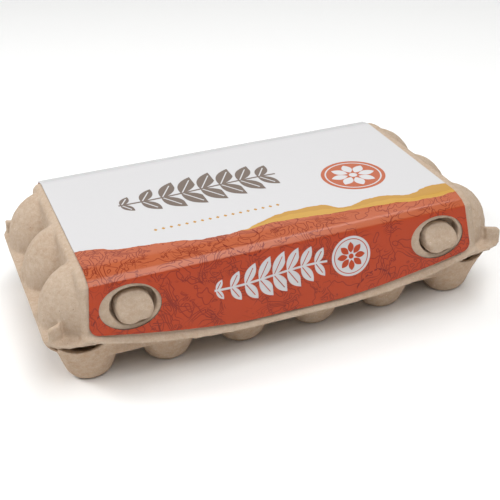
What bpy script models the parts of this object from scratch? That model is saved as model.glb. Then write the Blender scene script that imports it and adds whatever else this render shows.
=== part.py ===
"""A shut moulded-pulp egg carton, three rows of six cups, with a paper label wrapped over its lid.

X runs along the carton, the latches are on the front (-Y), and Z is up.
The origin is on the surface that the cups stand on, under the middle of the carton.
Sizes are in millimetres and become metres where a mesh is made.
"""
from math import cos, pi, radians, sin, sqrt

import bmesh
import bpy

MM = 0.001

# The cups: one egg each
CUP_PITCH = 47.5
CUP_COLUMNS = 6
CUP_ROWS = 3
# The middle row stands slightly behind the middle of the lid
ROWS_Y = 1.0
CUP_SIDES = 20
CUP_FOOT_RADIUS = 8.2
# Height and half-width of a cup, from its flat foot up to the rim that it opens into
CUP_PROFILE = ((0.0, CUP_FOOT_RADIUS), (1.0, 11.6), (4.0, 14.0), (9.0, 15.6), (17.0, 17.9), (25.0, 20.8),
               (32.0, 24.2))
CUP_ROUND_BELOW = 2.0
CUP_ROUND_ABOVE = 2.9

# The rim of the tray, a slab that the cups hang from
RIM_HALF_LENGTH = 144.5
RIM_HALF_DEPTH = 72.6
RIM_CORNER_RADIUS = 13.0
RIM_BOTTOM = 30.0
RIM_TOP = 36.3
RIM_BOTTOM_INSET = 2.4
RIM_EDGE_INSET = 0.4
RIM_EDGE_HEIGHT = 2.5
# The deeper web that joins each cup to the next, and how far past the middles of the outer cups it goes
WEB_BOTTOM = 18.2
WEB_REACH = 18.6
POST_HOLLOW_RADIUS = 5.6
POST_HOLLOW_TOP_RADIUS = 3.8
POST_HOLLOW_START = 16.0
POST_HOLLOW_TOP = 32.0
POST_HOLLOW_SIDES = 12
# The dip in the rim at each front corner, which leaves a lens-shaped gap under the lid
DIP_CENTRE_X = 125.5
DIP_HALF_LENGTH = 19.5
DIP_DEPTH = 10.0
DIP_BACK_Y = -48.0
DIP_STEPS = 10

# The lid
LID_BOTTOM = 36.6
LID_TOP = 73.3
TOP_HALF_DEPTH = 58.0
SHOULDER_Y = 69.9
SHOULDER_Z = 68.6
WALL_DRAFT = 0.165
END_X_AT_TOP = 122.5
END_SLOPE = 0.09
CORNER_RADIUS = 6.5
TOP_EDGE_RADIUS = 3.0
APRON_THICKNESS = 3.0
LIP_STAND = 2.4
LIP_THICKNESS = 2.0
# The lip hangs lowest in the middle of the front and climbs towards the corners
LIP_LOWEST = 24.4
LIP_LEVEL_HALF_LENGTH = 25.0
LIP_RISE = 11.8
LIP_RISE_LENGTH = 91.0
LIP_RISE_POWER = 2.1
LIP_HIGHEST = 36.9
# The wall stands back above the lip by a small sloping ledge
LIP_LEDGE = 1.2
# The fold that hinges the lid, along the back
HINGE_Y = 79.6
HINGE_THICKNESS = 2.2
HINGE_LEDGE = 3.4
SHOULDER_SHARES = (0.0, 0.33, 0.66, 1.0)
SHOULDER_ROUNDNESS = 1.6
LID_STATIONS = 15
# How far from the rounding of its upright corners the lid's straight part ends
LID_STRAIGHT_MARGIN = 5.0

# The flange at each end of the lid
FLANGE_HALF_LENGTH = 145.4
FLANGE_INNER_X = 118.0
FLANGE_FRONT_Y = -74.5
FLANGE_BACK_Y = 76.6
FLANGE_CORNER_RADIUS = 12.0
FLANGE_BOTTOM = 36.7
FLANGE_THICKNESS = 1.9
# Near the front it bends down between these two lines, to an edge that climbs outwards from the lip
FLANGE_BEND_FRONT = -73.0
FLANGE_BEND_BACK = -62.0
FLANGE_FRONT_LOWEST = 34.2
FLANGE_FRONT_CLIMB = 0.115
FLANGE_ROW_STEPS = (0.0, 4.0, 8.0, 14.0)
FLANGE_COLUMNS = (FLANGE_INNER_X, 124.0, 130.0)

# The egg-shaped lobes, three at each end
LOBE_X = 114.0
LOBE_HALF_X = 29.8
LOBE_HALF_Y = 23.6
LOBE_WIDEST_Z = 42.0
LOBE_HEIGHT = 31.0
LOBE_SIDES = 24
LOBE_LEVELS = 8
LOBE_FOOT_SPREAD = 0.6
# Below 1 the lobe stops just short of its pole; above 1 it is drawn to a point seen from the end
LOBE_CLOSING = 0.97
LOBE_POINTEDNESS = 1.25

# The small lugs that stand on the flange against the lobes
LUG_INNER_X = 135.0
LUG_HEIGHT = 8.6
LUG_EDGE = 0.35
# Outer x, front and back of each, and how far back its inner end is turned
LUG_PLACES = ((143.0, -70.9, -66.4, 3.6), (144.6, 0.0, 6.5, 2.0), (143.0, 66.4, 70.9, -3.6))

# The latches: an oval hole in the lid's front wall with a knob of the tray in it
LATCH_X = 96.0
# Both latches stand a little to the right of halfway between their cups
LATCH_SHIFT = 1.3
LATCH_Z = 53.4
HOLE_HALF_WIDTH = 13.4
HOLE_HALF_HEIGHT = 10.7
HOLE_BACK_Y = -64.5
KNOB_HALF_WIDTH = 10.8
KNOB_HALF_HEIGHT = 8.5
KNOB_Z = 51.7
KNOB_FRONT_Y = -77.8
KNOB_CREASE_Z = 52.6
KNOB_TOP_SLOPE = 0.62
KNOB_BACK_GAP = 0.3
# How far along its depth, and how wide there, the knob is as it rounds over to its face
KNOB_ROUNDING = ((0.0, 1.0), (0.6, 1.0), (0.82, 0.97), (0.94, 0.88), (1.0, 0.74))
OVAL_SIDES = 28
CUTTER_FRONT_Y = -90.0
CUTTER_BACK_Y = -60.0

# The label, a paper sleeve glued over the top, the front and the back, slightly to the left of the middle
LABEL_X = -1.5
LABEL_GAP = 0.3
LABEL_THICKNESS = 0.5
LABEL_HALF_WIDTH = 116.3
LABEL_FLARE = 0.13
LABEL_CORNER_RADIUS = 5.0
LABEL_BACK_BOTTOM = 42.0
# Its lower edge on the front is level in the middle and climbs towards the corners, above the lid's edge
LABEL_LOWEST = 28.6
LABEL_LEVEL_HALF_LENGTH = 25.0
LABEL_RISE = 12.8
LABEL_RISE_LENGTH = 91.3
LABEL_RISE_POWER = 1.45
LABEL_STEPS = 18
CUTOUT_SHIFT = -0.7
CUTOUT_HALF_WIDTH = 17.8
CUTOUT_HALF_HEIGHT = 13.2


def remove_all_objects():
    """Empty the scene, so that the script gives the same carton wherever it is run."""
    for thing in list(bpy.data.objects):
        bpy.data.objects.remove(thing, do_unlink=True)


def make_material(name, colour, roughness):
    """A Principled material of one colour (linear RGB), not metallic."""
    material = bpy.data.materials.new(name)
    material.use_nodes = True
    shader = material.node_tree.nodes["Principled BSDF"]
    shader.inputs["Base Color"].default_value = (*colour, 1.0)
    shader.inputs["Roughness"].default_value = roughness
    shader.inputs["Metallic"].default_value = 0.0
    material.diffuse_color = (*colour, 1.0)
    return material


def add_object(name, mesh_data, material=None):
    """Put a bmesh into the scene as an object, with its faces turned outwards."""
    bmesh.ops.recalc_face_normals(mesh_data, faces=mesh_data.faces)
    mesh = bpy.data.meshes.new(name)
    mesh_data.to_mesh(mesh)
    mesh_data.free()
    thing = bpy.data.objects.new(name, mesh)
    bpy.context.scene.collection.objects.link(thing)
    if material:
        mesh.materials.append(material)
    return thing


def loft(name, rings, material=None):
    """Skin a closed solid over rings of points (millimetres), each ring the same count, and cap both ends."""
    skin = bmesh.new()
    loops = [[skin.verts.new((x * MM, y * MM, z * MM)) for x, y, z in ring] for ring in rings]
    for lower, upper in zip(loops, loops[1:]):
        for i in range(len(lower)):
            j = (i + 1) % len(lower)
            skin.faces.new((lower[i], lower[j], upper[j], upper[i]))
    skin.faces.new(loops[0])
    skin.faces.new(loops[-1])
    return add_object(name, skin, material)


def combine(target, tools, operation):
    """Unite the tools with the target, or cut them out of it, and remove them."""
    group = bpy.data.collections.new(target.name + "_tools")
    bpy.context.scene.collection.children.link(group)
    for tool in tools:
        group.objects.link(tool)
        bpy.context.scene.collection.objects.unlink(tool)
        tool.hide_render = True
        tool.display_type = "WIRE"
    boolean = target.modifiers.new("combine", "BOOLEAN")
    boolean.operand_type = "COLLECTION"
    boolean.collection = group
    boolean.operation = operation
    boolean.solver = "EXACT"
    view = bpy.context.evaluated_depsgraph_get()
    joined = bpy.data.meshes.new_from_object(target.evaluated_get(view))
    target.modifiers.clear()
    target.data = joined
    for tool in tools:
        bpy.data.objects.remove(tool, do_unlink=True)
    bpy.data.collections.remove(group)


def shade(thing, angle):
    """Shade smooth, with a sharp edge wherever the surface turns by more than the angle."""
    thing.data.shade_smooth()
    thing.data.set_sharp_from_angle(angle=radians(angle))


def smooth_step(value, start, end):
    """0 before start, 1 after end, and an even S between them."""
    t = min(max((value - start) / (end - start), 0.0), 1.0)
    return t * t * (3.0 - 2.0 * t)


def signed_power(value, power):
    """A power that keeps the sign, for rounded squares and ovals."""
    return abs(value) ** power * (1.0 if value >= 0.0 else -1.0)


def rounded_ring(half_a, half_b, squareness, sides):
    """Points of an oval; a squareness of 2 is an ellipse, and more than 2 fills the corners."""
    ring = []
    for i in range(sides):
        turn = 2.0 * pi * i / sides
        ring.append((half_a * signed_power(cos(turn), 2.0 / squareness),
                     half_b * signed_power(sin(turn), 2.0 / squareness)))
    return ring


def rounded_rectangle(half_x, half_y, radius, steps=6):
    """Plan of a rectangle with round corners."""
    ring = []
    for quarter, (side_x, side_y) in enumerate(((1, 1), (-1, 1), (-1, -1), (1, -1))):
        for i in range(steps + 1):
            turn = pi / 2.0 * (quarter + i / steps)
            ring.append((side_x * (half_x - radius) + radius * cos(turn),
                         side_y * (half_y - radius) + radius * sin(turn)))
    return ring


def row_middles():
    """The y of each row of cups, and of the lobe over its last egg."""
    return [ROWS_Y + (row - (CUP_ROWS - 1) / 2.0) * CUP_PITCH for row in range(CUP_ROWS)]


def cup_centres():
    """Where the cups stand, column by column."""
    for column in range(CUP_COLUMNS):
        for y in row_middles():
            yield (column - (CUP_COLUMNS - 1) / 2.0) * CUP_PITCH, y


def make_cup(x, y):
    """One cup: round at its foot, and nearly square where it meets its neighbours."""
    top = CUP_PROFILE[-1][0]
    rings = []
    for height, half_width in CUP_PROFILE:
        squareness = CUP_ROUND_BELOW + (CUP_ROUND_ABOVE - CUP_ROUND_BELOW) * height / top
        rings.append([(x + a, y + b, height)
                      for a, b in rounded_ring(half_width, half_width, squareness, CUP_SIDES)])
    return loft("cup", rings)


def make_post_hollow(x, y):
    """The cone-shaped hollow that four cups leave between them, seen from below."""
    rings = []
    for z, radius in ((POST_HOLLOW_START, POST_HOLLOW_RADIUS), (POST_HOLLOW_TOP, POST_HOLLOW_TOP_RADIUS)):
        rings.append([(x + a, y + b, z) for a, b in rounded_ring(radius, radius, 2.0, POST_HOLLOW_SIDES)])
    return loft("post_hollow", rings)


def make_rim_dip(side):
    """Cutter for the dip at one front corner of the rim: an arc below the lid, seen from the front."""
    above = RIM_TOP + 5.0
    arc = []
    for i in range(DIP_STEPS + 1):
        across = 2.0 * i / DIP_STEPS - 1.0
        arc.append((side * DIP_CENTRE_X + across * DIP_HALF_LENGTH,
                    RIM_TOP + 0.1 - DIP_DEPTH * (1.0 - across ** 2)))
    arc += [(side * DIP_CENTRE_X + DIP_HALF_LENGTH, above), (side * DIP_CENTRE_X - DIP_HALF_LENGTH, above)]
    return loft("rim_dip", [[(x, y, z) for x, z in arc] for y in (CUTTER_FRONT_Y, DIP_BACK_Y)])


def make_slab(name, half_x, half_y, levels, material=None):
    """A plate with round corners under the rows; levels are (height, how far its edge is drawn in)."""
    rings = []
    for z, inset in levels:
        plan = rounded_rectangle(half_x - inset, half_y - inset, RIM_CORNER_RADIUS - inset)
        rings.append([(x, y + ROWS_Y, z) for x, y in plan])
    return loft(name, rings, material)


def make_web():
    """The web between the cups, as two crossing plates that leave the outer cups round on the outside."""
    outer_column = CUP_PITCH * (CUP_COLUMNS - 1) / 2.0
    outer_row = CUP_PITCH * (CUP_ROWS - 1) / 2.0
    levels = ((WEB_BOTTOM, 0.0), (RIM_BOTTOM + 1.0, 0.0))
    return [make_slab("web_front_to_back", outer_column, outer_row + WEB_REACH, levels),
            make_slab("web_end_to_end", outer_column + WEB_REACH, outer_row, levels)]


def make_tray(pulp):
    """The tray: its rim, eighteen cups in one moulding, and the hollows between the cups."""
    rim_levels = ((RIM_BOTTOM, RIM_BOTTOM_INSET), (RIM_BOTTOM + RIM_EDGE_HEIGHT, RIM_EDGE_INSET), (RIM_TOP, 0.0))
    tray = make_slab("tray", RIM_HALF_LENGTH, RIM_HALF_DEPTH, rim_levels, pulp)
    combine(tray, make_web() + [make_cup(x, y) for x, y in cup_centres()], "UNION")
    hollows = [make_post_hollow(x * CUP_PITCH, y * CUP_PITCH + ROWS_Y)
               for x in range(1 - CUP_COLUMNS // 2, CUP_COLUMNS // 2) for y in (-0.5, 0.5)]
    combine(tray, hollows + [make_rim_dip(side) for side in (-1, 1)], "DIFFERENCE")
    shade(tray, 40)


def lip_bottom(x):
    """Height of the lid's lower edge along the front."""
    reach = max(abs(x) - LIP_LEVEL_HALF_LENGTH, 0.0) / LIP_RISE_LENGTH
    return min(LIP_LOWEST + LIP_RISE * reach ** LIP_RISE_POWER, LIP_HIGHEST)


def wall_y(z):
    """How far the front and back walls stand out at a height: they lean out towards the bottom."""
    return SHOULDER_Y + (SHOULDER_Z - z) * WALL_DRAFT


def shoulder_points(stand=0.0):
    """The shoulder beside the flat top, as (distance from the middle, height), down to its crisp edge."""
    points = []
    for share in SHOULDER_SHARES:
        points.append((TOP_HALF_DEPTH + (SHOULDER_Y - TOP_HALF_DEPTH + stand) * share,
                       LID_TOP - (LID_TOP - SHOULDER_Z) * share ** SHOULDER_ROUNDNESS + stand))
    return points


def lid_outline(x):
    """The lid cut across at x: up the front, over the top, down the back and along the underside."""
    low = lip_bottom(x)
    ledge = low + LIP_THICKNESS + LIP_LEDGE
    outline = [(APRON_THICKNESS - wall_y(low), low),
               (-wall_y(low) - LIP_STAND, low),
               (-wall_y(low + LIP_THICKNESS) - LIP_STAND, low + LIP_THICKNESS),
               (-wall_y(ledge), ledge)]
    outline += [(-y, z) for y, z in reversed(shoulder_points())]
    outline += shoulder_points()
    outline += [(wall_y(LID_BOTTOM + HINGE_LEDGE), LID_BOTTOM + HINGE_LEDGE),
                (HINGE_Y, LID_BOTTOM + HINGE_THICKNESS),
                (HINGE_Y, LID_BOTTOM),
                (APRON_THICKNESS - wall_y(LID_BOTTOM), LID_BOTTOM)]
    return outline


def end_x(z):
    """How far out the sloping end wall stands at a height."""
    return END_X_AT_TOP + (LID_TOP - z) * END_SLOPE


def lid_end_ring(side, turn):
    """The lid's outline drawn in by the rounding of the upright corners and of the top edge."""
    drawn_in = 1.0 - cos(turn)
    ring = []
    for y, z in lid_outline(side * end_x(LID_BOTTOM)):
        y *= 1.0 - drawn_in * CORNER_RADIUS / SHOULDER_Y
        if z > LID_BOTTOM:
            z = LID_BOTTOM + (z - LID_BOTTOM) * (1.0 - drawn_in * TOP_EDGE_RADIUS / (LID_TOP - LID_BOTTOM))
        ring.append((side * (end_x(z) - CORNER_RADIUS * (1.0 - sin(turn))), y, z))
    return ring


def lid_box_rings():
    """Sections of the lid without its ends: top panel, shoulders, walls and the lip along the front."""
    turns = [radians(angle) for angle in (0, 30, 60, 90)]
    straight = END_X_AT_TOP - CORNER_RADIUS - LID_STRAIGHT_MARGIN
    rings = [lid_end_ring(-1, turn) for turn in reversed(turns)]
    for i in range(LID_STATIONS):
        x = (2.0 * i / (LID_STATIONS - 1) - 1.0) * straight
        rings.append([(x, y, z) for y, z in lid_outline(x)])
    rings += [lid_end_ring(1, turn) for turn in turns]
    return rings


def flange_limits(x):
    """Front and back edge of the flange at x, with its outer corners rounded."""
    past = max(abs(x) - (FLANGE_HALF_LENGTH - FLANGE_CORNER_RADIUS), 0.0)
    drawn_in = FLANGE_CORNER_RADIUS - sqrt(max(FLANGE_CORNER_RADIUS ** 2 - past ** 2, 0.0))
    return FLANGE_FRONT_Y + drawn_in, FLANGE_BACK_Y - drawn_in


def flange_bottom(x, y):
    """The flange is level, but along the front it bends down to the height of the lip."""
    bent = 1.0 - smooth_step(y, FLANGE_BEND_FRONT, FLANGE_BEND_BACK)
    front = min(FLANGE_FRONT_LOWEST + FLANGE_FRONT_CLIMB * (x - FLANGE_INNER_X), FLANGE_BOTTOM)
    return FLANGE_BOTTOM + (front - FLANGE_BOTTOM) * bent


def make_flange(side):
    """The flat flange at one end of the lid, a plate drawn over a grid of points."""
    straight = FLANGE_HALF_LENGTH - FLANGE_CORNER_RADIUS
    columns = list(FLANGE_COLUMNS)
    columns += [straight + FLANGE_CORNER_RADIUS * sin(radians(angle)) for angle in (0, 30, 55, 75, 90)]
    rings = []
    for x in columns:
        front, back = flange_limits(x)
        rows = [front + step for step in FLANGE_ROW_STEPS] + [0.0, back]
        lower = [(side * x, y, flange_bottom(x, y)) for y in rows]
        upper = [(side * x, y, flange_bottom(x, y) + FLANGE_THICKNESS) for y in reversed(rows)]
        rings.append(lower + upper)
    return loft("flange", rings)


def make_lobe(side, y):
    """One lobe over the last egg of a row: upright at its foot and closing to a blunt point."""
    rings = [[(side * LOBE_X + a, y + b, LID_BOTTOM + 1.0)
              for a, b in rounded_ring(LOBE_HALF_X + LOBE_FOOT_SPREAD, LOBE_HALF_Y, 2.0, LOBE_SIDES)]]
    for i in range(LOBE_LEVELS + 1):
        climb = sin(pi / 2.0 * LOBE_CLOSING * i / LOBE_LEVELS)
        spread = sqrt(1.0 - climb ** 2)
        ring = rounded_ring(LOBE_HALF_X * spread, LOBE_HALF_Y * spread ** LOBE_POINTEDNESS, 2.0, LOBE_SIDES)
        rings.append([(side * LOBE_X + a, y + b, LOBE_WIDEST_Z + LOBE_HEIGHT * climb) for a, b in ring])
    return loft("lobe", rings)


def make_lug(side, outer, front, back, skew):
    """A small upright lug on the flange, its inner end turned towards the lobe."""
    foot = FLANGE_BOTTOM + 1.0
    top = FLANGE_BOTTOM + FLANGE_THICKNESS + LUG_HEIGHT
    rings = []
    for z, draw in ((foot, 0.0), (top - LUG_EDGE, LUG_EDGE), (top, 2.0 * LUG_EDGE)):
        rings.append([(side * LUG_INNER_X, front + draw + skew, z),
                      (side * (outer - draw), front + draw, z),
                      (side * (outer - draw), back - draw, z),
                      (side * LUG_INNER_X, back - draw + skew, z)])
    return loft("lug", rings)


def make_oval_cutter(name, x, half_width, half_height, back):
    """An upright oval drawn through the front wall, from well in front of it."""
    oval = rounded_ring(half_width, half_height, 2.2, OVAL_SIDES)
    return loft(name, [[(x + a, y, LATCH_Z + b) for a, b in oval] for y in (CUTTER_FRONT_Y, back)])


def make_lid(pulp):
    """The lid: box, end flanges, lobes and lugs in one moulding, with the two latch holes."""
    lid = loft("lid", lid_box_rings(), pulp)
    added = []
    holes = []
    for side in (-1, 1):
        added.append(make_flange(side))
        added += [make_lobe(side, y) for y in row_middles()]
        added += [make_lug(side, *place) for place in LUG_PLACES]
        holes.append(make_oval_cutter("latch_hole", side * LATCH_X + LATCH_SHIFT, HOLE_HALF_WIDTH,
                                      HOLE_HALF_HEIGHT, HOLE_BACK_Y))
    combine(lid, added, "UNION")
    combine(lid, holes, "DIFFERENCE")
    shade(lid, 35)


def make_knob(name, side, pulp):
    """A latch knob: a rounded tongue whose lower face is upright and whose upper face leans back."""
    back = HOLE_BACK_Y - KNOB_BACK_GAP
    rings = []
    for share, scale in KNOB_ROUNDING:
        ring = []
        for a, b in rounded_ring(KNOB_HALF_WIDTH * scale, KNOB_HALF_HEIGHT * scale, 2.4, OVAL_SIDES):
            front = KNOB_FRONT_Y + KNOB_TOP_SLOPE * max(KNOB_Z + b - KNOB_CREASE_Z, 0.0)
            ring.append((side * LATCH_X + LATCH_SHIFT + a, back + (front - back) * share, KNOB_Z + b))
        rings.append(ring)
    shade(loft(name, rings, pulp), 35)


def label_bottom(x):
    """Height of the label's lower edge on the front, which leaves a bare strip of pulp above the lip."""
    reach = max(abs(x) - LABEL_LEVEL_HALF_LENGTH, 0.0) / LABEL_RISE_LENGTH
    return LABEL_LOWEST + LABEL_RISE * reach ** LABEL_RISE_POWER


def label_path(x, raised, stand):
    """The label cut across at x, from the front's lower edge over the top to the back's lower edge."""
    low = label_bottom(x) + raised
    back_low = LABEL_BACK_BOTTOM + raised
    front = [(-wall_y(low) - stand, low), (-wall_y(LATCH_Z) - stand, LATCH_Z)]
    shoulder = shoulder_points(stand)
    back = [(wall_y(LATCH_Z) + stand, LATCH_Z), (wall_y(back_low) + stand, back_low)]
    return front + [(-y, z) for y, z in reversed(shoulder)] + shoulder + back


def label_half_width(z):
    """The label widens down the walls, as the lid does."""
    return LABEL_HALF_WIDTH + max(SHOULDER_Z - z, 0.0) * LABEL_FLARE


def label_stations():
    """Where the label is cut across, as (share of its half-width, lift of its edge at the round corners)."""
    straight = 1.0 - LABEL_CORNER_RADIUS / LABEL_HALF_WIDTH
    stations = [(straight * (2.0 * i / LABEL_STEPS - 1.0), 0.0) for i in range(LABEL_STEPS + 1)]
    for angle in (30, 60, 90):
        share = straight + (1.0 - straight) * sin(radians(angle))
        lift = LABEL_CORNER_RADIUS * (1.0 - cos(radians(angle)))
        stations = [(-share, lift)] + stations + [(share, lift)]
    return stations


def make_label(card):
    """The label as one thin wrap, standing just clear of the lid, with an oval cut out round each latch."""
    rings = []
    for share, lift in label_stations():
        x = share * LABEL_HALF_WIDTH
        inner = label_path(x, lift, LABEL_GAP)
        outer = label_path(x, lift, LABEL_GAP + LABEL_THICKNESS)
        rings.append([(LABEL_X + share * label_half_width(z), y, z) for y, z in inner + outer[::-1]])
    label = loft("label", rings, card)
    cutouts = [make_oval_cutter("label_cutout", side * LATCH_X + CUTOUT_SHIFT, CUTOUT_HALF_WIDTH,
                                CUTOUT_HALF_HEIGHT, CUTTER_BACK_Y) for side in (-1, 1)]
    combine(label, cutouts, "DIFFERENCE")
    shade(label, 20)


def main():
    """Build the carton from the tray up."""
    remove_all_objects()
    pulp = make_material("moulded_pulp", (0.50, 0.37, 0.27), 0.92)
    card = make_material("printed_paper", (0.56, 0.16, 0.08), 0.45)
    make_tray(pulp)
    make_lid(pulp)
    make_label(card)
    make_knob("latch_left", -1, pulp)
    make_knob("latch_right", 1, pulp)


main()
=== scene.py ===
"""Looks of a shut egg carton of moulded pulp, with a printed paper label wrapped over its lid."""

import logging
import math
from dataclasses import dataclass, field
from enum import Enum
from typing import Any, Callable, Sequence

import bpy
from mathutils import Matrix, Vector


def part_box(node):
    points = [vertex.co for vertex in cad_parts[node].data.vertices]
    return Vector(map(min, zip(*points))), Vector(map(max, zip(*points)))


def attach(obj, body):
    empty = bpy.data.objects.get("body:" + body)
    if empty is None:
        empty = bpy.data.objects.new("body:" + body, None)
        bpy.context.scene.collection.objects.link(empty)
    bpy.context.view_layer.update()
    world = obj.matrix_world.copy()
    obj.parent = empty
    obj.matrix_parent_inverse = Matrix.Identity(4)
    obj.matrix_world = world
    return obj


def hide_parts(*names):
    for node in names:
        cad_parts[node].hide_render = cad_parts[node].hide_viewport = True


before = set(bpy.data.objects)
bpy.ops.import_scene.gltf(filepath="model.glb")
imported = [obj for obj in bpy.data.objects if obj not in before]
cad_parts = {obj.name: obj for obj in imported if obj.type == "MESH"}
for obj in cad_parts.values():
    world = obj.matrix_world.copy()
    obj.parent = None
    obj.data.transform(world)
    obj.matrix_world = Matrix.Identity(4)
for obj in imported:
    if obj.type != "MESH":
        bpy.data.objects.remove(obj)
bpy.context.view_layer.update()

log = logging.getLogger("egg_carton")

MM = 0.001
BODY = "root"


class Tone(Enum):
    """Colours of the carton and its label, as sRGB hex values."""

    PULP = "#BFA993"
    PULP_WARM = "#B2977D"
    # The tray's pulp is a darker, warmer copy of PULP: painted shade for the cups that sit low.
    PULP_TRAY = "#BDA085"
    PULP_PALE = "#D2C2B0"
    PULP_DARK = "#6E5643"
    FLECK_RED = "#9C4A3C"
    PAPER = "#CCCBCC"
    RUST = "#B23D15"
    # The rust ink lightened for the top, the shoulders and the back: painted light.
    RUST_PALE = "#B25A36"
    RUST_LINE = "#76200F"
    MUSTARD = "#B98B3A"
    MUSTARD_PALE = "#C29640"
    EARTH = "#6B5C52"
    FLOOR = "#FDFDFC"


class Latch(Enum):
    """The two latches, by the name of the solid that each stands for."""

    LEFT = "latch_left"
    RIGHT = "latch_right"


def linear(tone: Tone) -> tuple[float, float, float, float]:
    """Turn a tone's sRGB hex value into a linear colour.

    Args:
        tone: the colour to turn.

    Returns:
        Red, green, blue and an alpha of 1, as the shader nodes take them.
    """
    parts = [int(tone.value[i : i + 2], 16) / 255.0 for i in (1, 3, 5)]
    red, green, blue = (p / 12.92 if p <= 0.04045 else ((p + 0.055) / 1.055) ** 2.4 for p in parts)
    return red, green, blue, 1.0


class Measure:
    """A number, place or colour that varies over a piece. Sums with it add the nodes for them."""

    def __init__(self, tree: bpy.types.NodeTree, socket: bpy.types.NodeSocket) -> None:
        """Keep the node tree and the socket that gives the measure."""
        self.tree, self.socket = tree, socket

    def through(self, kind: str, *others: Any, **settings: Any) -> "Measure":
        """Put this through a new node, as the node's first input.

        Args:
            kind: the node's type, as add_node takes it.
            *others: the node's next inputs, in order.
            **settings: the node's own attributes.

        Returns:
            What the node gives.
        """
        return add_node(self.tree, kind, settings, dict(enumerate((self, *others))))

    def __add__(self, other: Any) -> "Measure":
        """This number and the other one."""
        return self.through("Math ADD", other)

    def __sub__(self, other: Any) -> "Measure":
        """This number less the other one."""
        return self.through("Math SUBTRACT", other)

    def __rsub__(self, other: float) -> "Measure":
        """A plain number less this one."""
        return add_node(self.tree, "Math SUBTRACT", {}, {0: other, 1: self})

    def __mul__(self, other: Any) -> "Measure":
        """This number times the other one."""
        return self.through("Math MULTIPLY", other)

    def __truediv__(self, other: Any) -> "Measure":
        """This number over the other one."""
        return self.through("Math DIVIDE", other)

    def inside(self, soft: float) -> "Measure":
        """A mask of where this number is above nought, with an edge that reaches soft each way."""
        return self.through("MapRange", -soft, soft)

    def under(self, tone: Tone, amount: "Measure") -> "Measure":
        """This colour with a tone laid over it by an amount from 0 to 1."""
        return laid_over(self, tone, amount)


def add_node(
    tree: bpy.types.NodeTree,
    kind: str,
    settings: dict[str, Any] | None = None,
    inputs: dict[int | str, Any] | None = None,
    output: int | str = 0,
) -> Measure:
    """Add one node, set it up, and link or fill its inputs.

    Args:
        tree: the node tree that the node goes into.
        kind: the node's type without the prefix ShaderNode, and its operation where it has one.
        settings: the node's own attributes, by name.
        inputs: its inputs by name or number, each a measure to link or a value to fill in.
        output: which output is wanted.

    Returns:
        The wanted output, or the node's first input where it has no output.
    """
    type_name, _, operation = kind.partition(" ")
    node = tree.nodes.new("ShaderNode" + type_name)
    if operation:
        node.operation = operation
    for name, value in (settings or {}).items():
        setattr(node, name, value)
    for key, value in (inputs or {}).items():
        if isinstance(value, Measure):
            tree.links.new(value.socket, node.inputs[key])
        else:
            node.inputs[key].default_value = value
    return Measure(tree, node.outputs[output] if len(node.outputs) else node.inputs[0])


def laid_over(colour: Any, tone: Tone, amount: Measure) -> Measure:
    """Lay a tone over a colour.

    Args:
        colour: the colour below, plain or varying.
        tone: the tone that goes over it.
        amount: how much of it lies there, from 0 to 1.

    Returns:
        The colour with the tone on it.
    """
    mix = {"data_type": "RGBA", "blend_type": "MIX"}
    return add_node(amount.tree, "Mix", mix, {0: amount, 6: colour, 7: linear(tone)}, 2)


def start_material(name: str) -> tuple[bpy.types.Material, bpy.types.NodeTree]:
    """Make an empty node material.

    Args:
        name: the material's name.

    Returns:
        The material and its node tree, without any node.
    """
    material = bpy.data.materials.new(name)
    material.use_nodes = True
    material.node_tree.nodes.clear()
    return material, material.node_tree


def end_material(tree: bpy.types.NodeTree, colour: Any, roughness: float, **others: Any) -> None:
    """End a material with its shader.

    Args:
        tree: the material's node tree.
        colour: the base colour, plain or varying.
        roughness: how rough the surface is, from 0 to 1.
        **others: the shader's other inputs, by name with _ for each space.
    """
    inputs = {name.replace("_", " "): value for name, value in others.items()}
    inputs |= {"Base Color": colour, "Roughness": roughness}
    shader = add_node(tree, "BsdfPrincipled", {}, inputs)
    add_node(tree, "OutputMaterial", {}, {"Surface": shader})


def make_active(piece: bpy.types.Object) -> None:
    """Select one piece and nothing else, and make it the active one.

    Args:
        piece: the piece.
    """
    bpy.ops.object.select_all(action="DESELECT")
    piece.select_set(True)
    bpy.context.view_layer.objects.active = piece


def apply_modifier(piece: bpy.types.Object, kind: str, **settings: Any) -> None:
    """Add a modifier to a piece and apply it.

    Args:
        piece: the piece to change.
        kind: the modifier's type, such as REMESH.
        **settings: the modifier's own attributes.
    """
    make_active(piece)
    modifier = piece.modifiers.new(kind.title(), kind)
    for name, value in settings.items():
        setattr(modifier, name, value)
    bpy.ops.object.modifier_apply(modifier=modifier.name)


def cut_away(piece: bpy.types.Object, cutter: bpy.types.Object) -> None:
    """Cut a cutter's shape out of a piece, and delete the cutter."""
    apply_modifier(piece, "BOOLEAN", operation="DIFFERENCE", object=cutter, solver="EXACT")
    bpy.data.objects.remove(cutter)


def weigh(piece: bpy.types.Object, name: str, weight: Callable[[Vector], float]) -> str:
    """Give a piece a vertex group whose weights come from each vertex's place.

    Args:
        piece: the piece to weigh.
        name: the group's name.
        weight: a weight from 0 to 1 for a place in metres.

    Returns:
        The group's name.
    """
    group = piece.vertex_groups.new(name=name)
    for vertex in piece.data.vertices:
        group.add([vertex.index], weight(vertex.co), "REPLACE")
    return name


def dress(
    piece: bpy.types.Object, materials: Sequence[bpy.types.Material], node: str
) -> None:
    """Give a finished piece its materials and its place on the carton.

    Args:
        piece: the finished piece.
        materials: its materials, in the order of its material slots.
        node: the solid that it stands for.
    """
    piece.data.materials.clear()
    for material in materials:
        piece.data.materials.append(material)
    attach(piece, BODY)
    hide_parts(node)
    log.info("%s: %d faces, stands for %s", piece.name, len(piece.data.polygons), node)


@dataclass(frozen=True)
class Clouding:
    """One size at which the pulp's colour is cloudy, and the tone and share of its clouds."""

    size_mm: float
    detail: float
    low: float
    high: float
    tone: Tone
    share: float


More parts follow.
